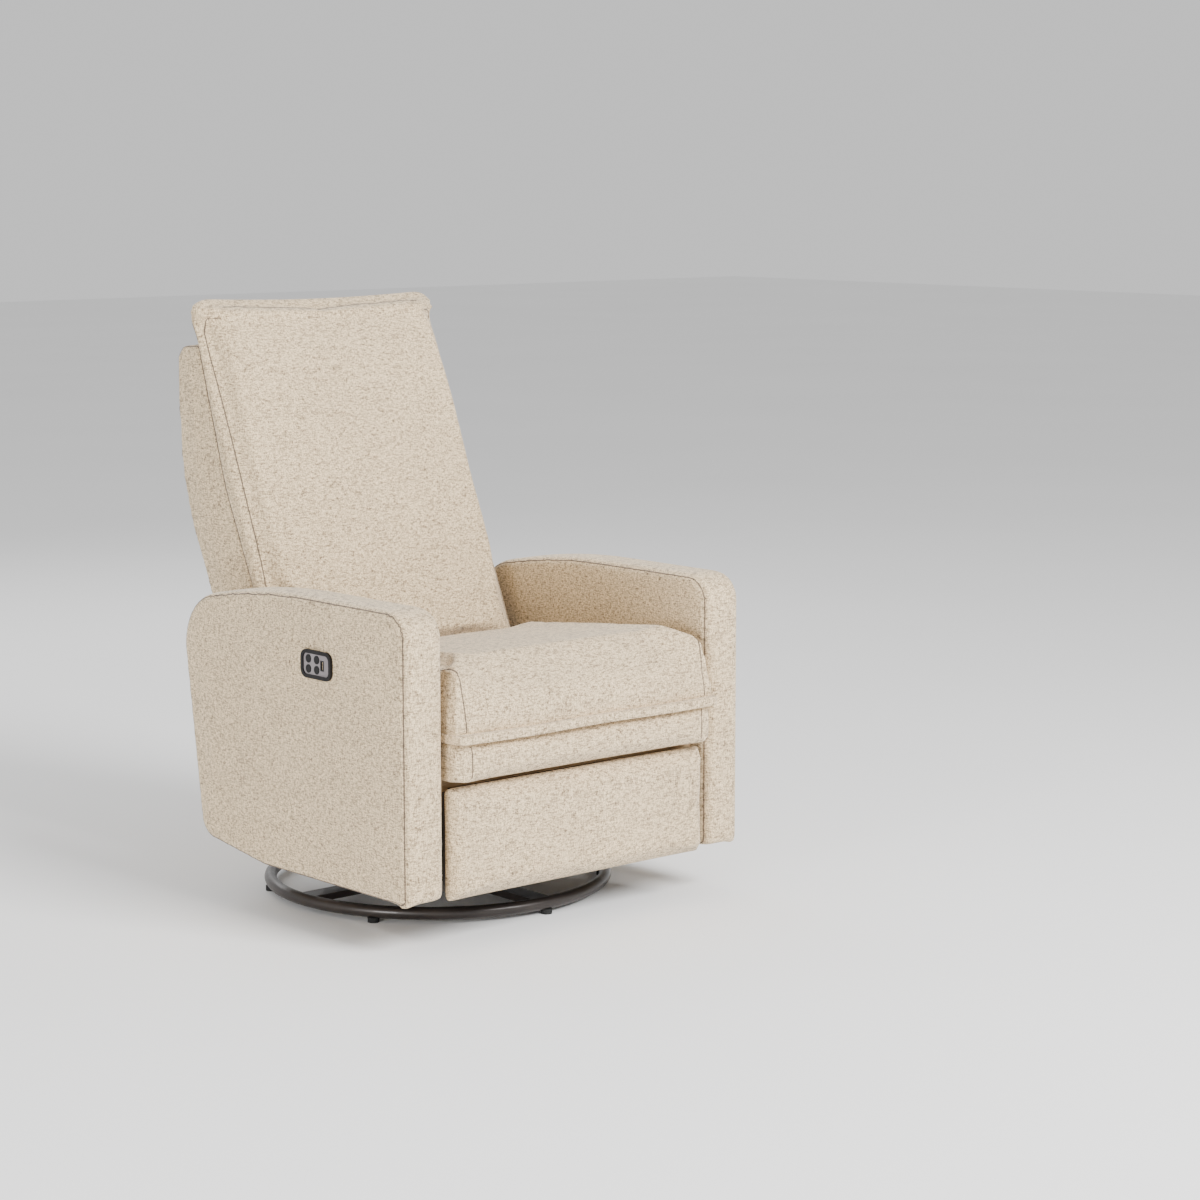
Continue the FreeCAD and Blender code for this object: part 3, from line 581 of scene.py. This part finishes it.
def seat_cushion():
    """The seat pad: a crowned top that rolls over the front, with a seam near each end."""
    outline = rounded([(-0.417, 0.356, 0.004), (-0.402, 0.461, 0.018), (0.074, 0.412, 0.02),
                       (0.074, 0.305, 0.006), (-0.350, 0.305, 0.004), (-0.350, 0.356)], 8)
    obj = prism("seat_pad", outline, -SEAT_HALF, SEAT_HALF, 0.012)
    remesh(obj)
    smooth(obj, 3)

    def freedom(p):
        upper = ease(p[:, 2], 0.33, 0.40)
        rear = 1 - ease(p[:, 1], 0.04, 0.072)
        ends = 1 - ease(np.abs(p[:, 0]), 0.270, 0.284) * 0.6
        return upper * (0.15 + 0.85 * rear) * ends

    inflate(obj, 0.022, freedom)
    smooth(obj, 3)
    p = points_of(obj)
    # the middle is crowned from side to side and from front to rear
    crown = 1 - np.clip(np.abs(p[:, 0]) / SEAT_HALF, 0, 1) ** 5
    along = np.clip(1 - ((p[:, 1] + 0.17) / 0.27) ** 2, 0, 1)
    p[:, 2] += crown * along * 0.007 * ease(p[:, 2], 0.36, 0.42)
    # the top corners are drawn in towards the middle
    pull = ease(p[:, 2], 0.375, 0.47) * ease(np.abs(p[:, 0]), 0.18, SEAT_HALF)
    pull *= 1 - ease(p[:, 1], -0.36, -0.10) * 0.75
    p[:, 0] -= np.sign(p[:, 0]) * pull * 0.015
    # the front edge is softer in the middle than at its ends
    reach = np.hypot(p[:, 1] + 0.414, p[:, 2] - 0.470)
    nose = np.exp(-(reach / 0.040) ** 2) * (1 - np.clip(np.abs(p[:, 0]) / 0.27, 0, 1) ** 6)
    p[:, 1] += nose * 0.008
    p[:, 2] -= nose * 0.008
    # and the ends stand up a little
    p[:, 2] += 0.011 * ease(np.abs(p[:, 0]), 0.17, 0.262) * ease(p[:, 2], 0.40, 0.44)
    p += normals_of(obj) * (ripples(p, 0.20, SEED)[:, None] * 0.0018
                            * ease(p[:, 2], 0.36, 0.40)[:, None])
    # clear of the webbing, the back and the arms
    p[:, 2] = np.maximum(p[:, 2], 0.3035)
    p[:, 1] = np.minimum(p[:, 1], 0.0765)
    p[:, 0] = np.clip(p[:, 0], -0.2885, 0.2885)
    set_points(obj, p)
    subdivide(obj)
    lines = {}
    rise = [(-0.424, 0.366), (-0.419, 0.39), (-0.414, 0.42), (-0.406, 0.45), (-0.395, 0.466),
            (-0.37, 0.468), (-0.25, 0.46), (-0.10, 0.44), (0.05, 0.42)]
    for side, end in (("left", -1), ("right", 1)):
        path = [(end * (0.266 if y < -0.40 else 0.268), y, z)
                for y, z in even(rise, SEAM_STEP, closed=False)]
        groove(obj, path, 0.0026, 0.003)
        lines[side] = path
    finish_soft(obj, "seat", "seat_cushion", fill=0.8)
    for side, path in lines.items():
        seam(f"seat_seam_{side}", obj, path, "seat")


def ribbon_slab(name, x_half, y_front, y_rear, z_low, z_high, radius, bevel):
    """A rounded band seen from above as a rectangle with round front corners."""
    outline = rounded([(-x_half, y_rear, 0.004), (-x_half, y_front, radius),
                       (x_half, y_front, radius), (x_half, y_rear, 0.004)], 8)
    return slab(name, [[(x, y, z) for x, y in outline] for z in (z_low, z_high)], bevel)


def seat_front():
    """The flat flange under the seat and the soft roll below it."""
    flange = ribbon_slab("seat_flange", 0.2895, -0.4275, -0.352, 0.3480, 0.3635, 0.014, 0.0016)
    remesh(flange, 0.0018)
    p = points_of(flange)
    p[:, 2] += np.sin(p[:, 0] * 19 + 1.2) * 0.0008 * ease(p[:, 1], -0.38, -0.42)
    set_points(flange, p)
    smooth(flange, 1)
    finish_soft(flange, "seat")
    roll = ribbon_slab("seat_roll", 0.286, -0.414, -0.3525, 0.2835, 0.3475, 0.018, 0.012)
    remesh(roll, 0.0045)
    smooth(roll, 3)

    def freedom(points):
        return ease(points[:, 1], -0.36, -0.40) * (1 - ease(np.abs(points[:, 0]), 0.27, 0.285))

    inflate(roll, 0.007, freedom)
    smooth(roll, 3)
    p = points_of(roll)
    p[:, 1] -= ripples(p, 0.12, SEED + 3) * 0.0010
    p[:, 2] = np.clip(p[:, 2], 0.2822, 0.3490)
    set_points(roll, p)
    subdivide(roll)
    falls = {side: [(end * 0.257, -0.425, z) for z in np.linspace(0.347, 0.288, 16)]
             for side, end in (("left", -1), ("right", 1))}
    for path in falls.values():
        groove(roll, path, 0.0026, 0.003)
    finish_soft(roll, "seat", "seat_front_roll", fill=0.7)
    for side, path in falls.items():
        seam(f"roll_seam_{side}", roll, path, "seat")


# ---------------------------------------------------------------- footrest

def footrest_pad():
    """The footrest's front pad, with a small pucker at one upper corner."""
    outline = rounded([(-0.396, 0.081, 0.012), (-0.396, 0.272, 0.012), (-0.3728, 0.272, 0.005),
                       (-0.3728, 0.081, 0.005)], 6)
    obj = prism("footrest_pad", outline, -0.283, 0.283, 0.010)
    remesh(obj)
    smooth(obj, 2)

    def freedom(p):
        return ease(p[:, 1], -0.378, -0.392)

    inflate(obj, 0.008, freedom)
    smooth(obj, 3)
    p = points_of(obj)
    corner = np.hypot(p[:, 0] + 0.262, p[:, 2] - 0.258)
    p[:, 1] += 0.003 * np.exp(-(corner / 0.02) ** 2) * np.sin(p[:, 0] * 420)
    p[:, 1] -= ripples(p, 0.18, SEED + 5) * 0.0012 * ease(p[:, 1], -0.375, -0.39)
    p[:, 1] = np.clip(p[:, 1], -0.409, -0.3725)
    set_points(obj, p)
    subdivide(obj)
    finish_soft(obj, "footrest", "footrest_cushion", fill=0.7)


# ---------------------------------------------------------------- back

BACK_HALF = 0.267
SHELL_HALF = 0.260
TOP_DIP = 0.007             # of the back's top edge at its middle
BACK_FRONT = [(0.402, 0.086), (0.696, 0.206), (1.012, 0.334)]     # (Z, Y) of the side seams
BACK_REAR = [(0.402, 0.1225), (0.708, 0.2655), (0.970, 0.3475), (1.010, 0.365), (1.040, 0.365)]


def line_y(line, z):
    """The Y at a height on a line of (Z, Y) points."""
    return np.interp(z, [a for a, _ in line], [b for _, b in line])


def behind_front(p):
    """How far each point lies behind the back cushion's front seam."""
    return p[:, 1] - line_y(BACK_FRONT, p[:, 2])


def back_cushion():
    """The back pad: a puffed front, a top with tucked corners, and a seam along each edge."""
    outline = rounded([(0.085, 0.398, 0.004), (0.210, 0.696), (0.334, 1.004, 0.008),
                       (0.336, 1.043, 0.012), (0.367, 1.043, 0.010), (0.367, 1.010),
                       (0.3475, 0.970), (0.2655, 0.708), (0.1235, 0.402, 0.006)], 6)
    obj = prism("back_pad", outline, -BACK_HALF, BACK_HALF, 0.007)
    remesh(obj)
    smooth(obj, 2)

    def freedom(p):
        return ease(behind_front(p), 0.022, 0.004) * ease(p[:, 2], 0.398, 0.41)

    inflate(obj, 0.022, freedom)
    smooth(obj, 4)
    p = points_of(obj)
    across = np.clip(np.abs(p[:, 0]) / BACK_HALF, 0, 1)
    front = ease(behind_front(p), 0.022, 0.004)
    crown = (1 - across ** 3) * front * 0.012
    crown *= ease(p[:, 2], 0.385, 0.45) * ease(p[:, 2], 1.03, 0.92)
    p[:, 1] -= crown * 0.92         # along the normal of the leaning front
    p[:, 2] += crown * 0.39
    p += normals_of(obj) * (ripples(p, 0.24, SEED + 9) * 0.002 * front)[:, None]
    # the top edge dips a little between its corners, which are rounded and tucked
    high = ease(p[:, 2], 0.93, 1.03)
    p[:, 2] -= high * TOP_DIP * np.cos(across * math.pi / 2)
    corner = np.clip((np.abs(p[:, 0]) - 0.228) / 0.040, 0, 1)
    p[:, 2] -= high * 0.016 * corner ** 2.4
    fold = np.hypot(np.abs(p[:, 0]) - 0.258, p[:, 2] - 1.018)
    p[:, 1] += 0.006 * np.exp(-(fold / 0.012) ** 2) * np.sin(p[:, 2] * 520)
    set_points(obj, p)
    subdivide(obj)
    edge = BACK_HALF - 0.003
    lines = {}
    for label, side_line, crest, depth in (("front", BACK_FRONT, 1.012, 0.0036),
                                           ("rear", BACK_REAR, 1.030, 0.0024)):
        loop = rounded([(-edge, 0.42), (-edge, crest, 0.034), (edge, crest, 0.034),
                        (edge, 0.42)], 8)
        path = []
        for x, z in even(loop, SEAM_STEP, closed=False):
            dip = TOP_DIP * math.cos(x / edge * math.pi / 2) * ease(z, crest - 0.03, crest)
            path.append((x, line_y(side_line, z), z - dip))
        lines[label] = path
        groove(obj, path, depth, 0.0032)
    finish_soft(obj, "back", "back_cushion", fill=0.7)
    for label, path in lines.items():
        seam(f"back_{label}_seam", obj, path, "back")


def outer_back():
    """The shell behind the cushion, with a wing on each side."""
    outline = rounded([(0.150, 0.312, 0.010), (0.235, 0.312, 0.02), (0.325, 0.519, 0.3),
                       (0.383, 0.642, 0.3), (0.408, 0.731, 0.3), (0.418, 0.857, 0.3),
                       (0.418, 0.956, 0.020), (0.3485, 0.962, 0.006), (0.269, 0.708),
                       (0.1295, 0.408)], 6)
    obj = prism("back_shell", outline, -SHELL_HALF, SHELL_HALF, 0.010)
    remesh(obj, 0.0065)
    smooth(obj, 3)
    p = points_of(obj)
    inside = distance_to(outline, p[:, 1], p[:, 2])
    puff = ease(inside, 0.0, 0.06) * 0.004
    side_face = np.abs(p[:, 0]) > 0.245
    p[:, 0] += np.sign(p[:, 0]) * np.where(side_face, puff, 0)
    rear = ease(behind_front(p) - 0.05, 0.0, 0.02)
    crown = 1 - np.clip(np.abs(p[:, 0]) / SHELL_HALF, 0, 1) ** 4
    p[:, 1] += rear * crown * 0.004
    p += normals_of(obj) * (ripples(p, 0.22, SEED + 11) * 0.0014 * rear)[:, None]
    set_points(obj, p)
    subdivide(obj)
    ring = even(outline, RING_STEP)
    lines = {side: [(x, y, z) for y, z in ring]
             for side, x in (("left", -SHELL_HALF), ("right", SHELL_HALF))}
    for path in lines.values():
        groove(obj, path, 0.003, 0.003)
    finish_soft(obj, "back", "outer_back", fill=0.5)
    for side, path in lines.items():
        seam(f"outer_back_seam_{side}", obj, path + path[:1], "back")


def rear_apron():
    """The upholstered board across the back, below the outer back."""
    low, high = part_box("rear_apron")
    outline = rounded([(low[1] + 0.0005, low[2], 0.002), (low[1] + 0.0005, high[2], 0.002),
                       (high[1], high[2], 0.003), (high[1], low[2], 0.003)], 4)
    obj = prism("rear_apron_cover", outline, low[0], high[0], 0.002)
    remesh(obj, 0.0022)
    smooth(obj, 2)
    p = points_of(obj)
    outer = ease(p[:, 1], low[1] + 0.002, high[1])
    edge = np.minimum(np.minimum(p[:, 2] - low[2], high[2] - p[:, 2]), high[0] - np.abs(p[:, 0]))
    p[:, 1] += outer * (ease(edge, 0.0, 0.02) * 0.002 + ripples(p, 0.2, SEED + 13) * 0.0006)
    set_points(obj, p)
    finish_soft(obj, "seat", "rear_apron", fill=0.3)


# ---------------------------------------------------------------- studio

LIGHT_TARGET = (0, 0, 0.5)


def area_light(name, location, size, power):
    light = bpy.data.lights.new(name, "AREA")
    light.shape = "SQUARE"
    light.size = size
    light.energy = power
    obj = bpy.data.objects.new(name, light)
    obj.location = location
    aim = Vector(LIGHT_TARGET) - Vector(location)
    obj.rotation_euler = aim.to_track_quat("-Z", "Y").to_euler()
    bpy.context.scene.collection.objects.link(obj)


def studio():
    """A pale floor, an even white surround and three soft lights."""
    bm = bmesh.new()
    bmesh.ops.create_grid(bm, x_segments=2, y_segments=2, size=20)
    floor = new_object("floor", bm)
    n = Nodes("pale_floor", 0.85)
    n.color(n.ramp(n.noise(0.8, 2.0), [(0.3, (0.86, 0.86, 0.86)), (0.7, (0.88, 0.88, 0.88))]))
    floor.data.materials.append(n.material)
    world = bpy.data.worlds.new("studio")
    world.use_nodes = True
    world.node_tree.nodes["Background"].inputs["Color"].default_value = (1, 1, 1, 1)
    world.node_tree.nodes["Background"].inputs["Strength"].default_value = 0.8
    bpy.context.scene.world = world
    area_light("key", (0.6, -4.4, 3.4), 2.0, 500)
    area_light("fill", (-4.2, -1.4, 0.8), 1.2, 120)
    area_light("rear", (0.5, 3.4, 2.8), 2.6, 60)


CAMERA_PLACE = (-3.265, -4.146, 1.288)
CAMERA_AIM = (0.229, -0.180, 0.511)


def camera():
    data = bpy.data.cameras.new("camera")
    data.lens = 90
    data.sensor_width = 36
    obj = bpy.data.objects.new("camera", data)
    obj.location = CAMERA_PLACE
    aim = Vector(CAMERA_AIM) - obj.location
    obj.rotation_euler = aim.to_track_quat("-Z", "Y").to_euler()
    bpy.context.scene.collection.objects.link(obj)
    bpy.context.scene.camera = obj


camera()
studio()
arm(-1)
arm(1)
seat_cushion()
seat_front()
footrest_pad()
back_cushion()
outer_back()
rear_apron()
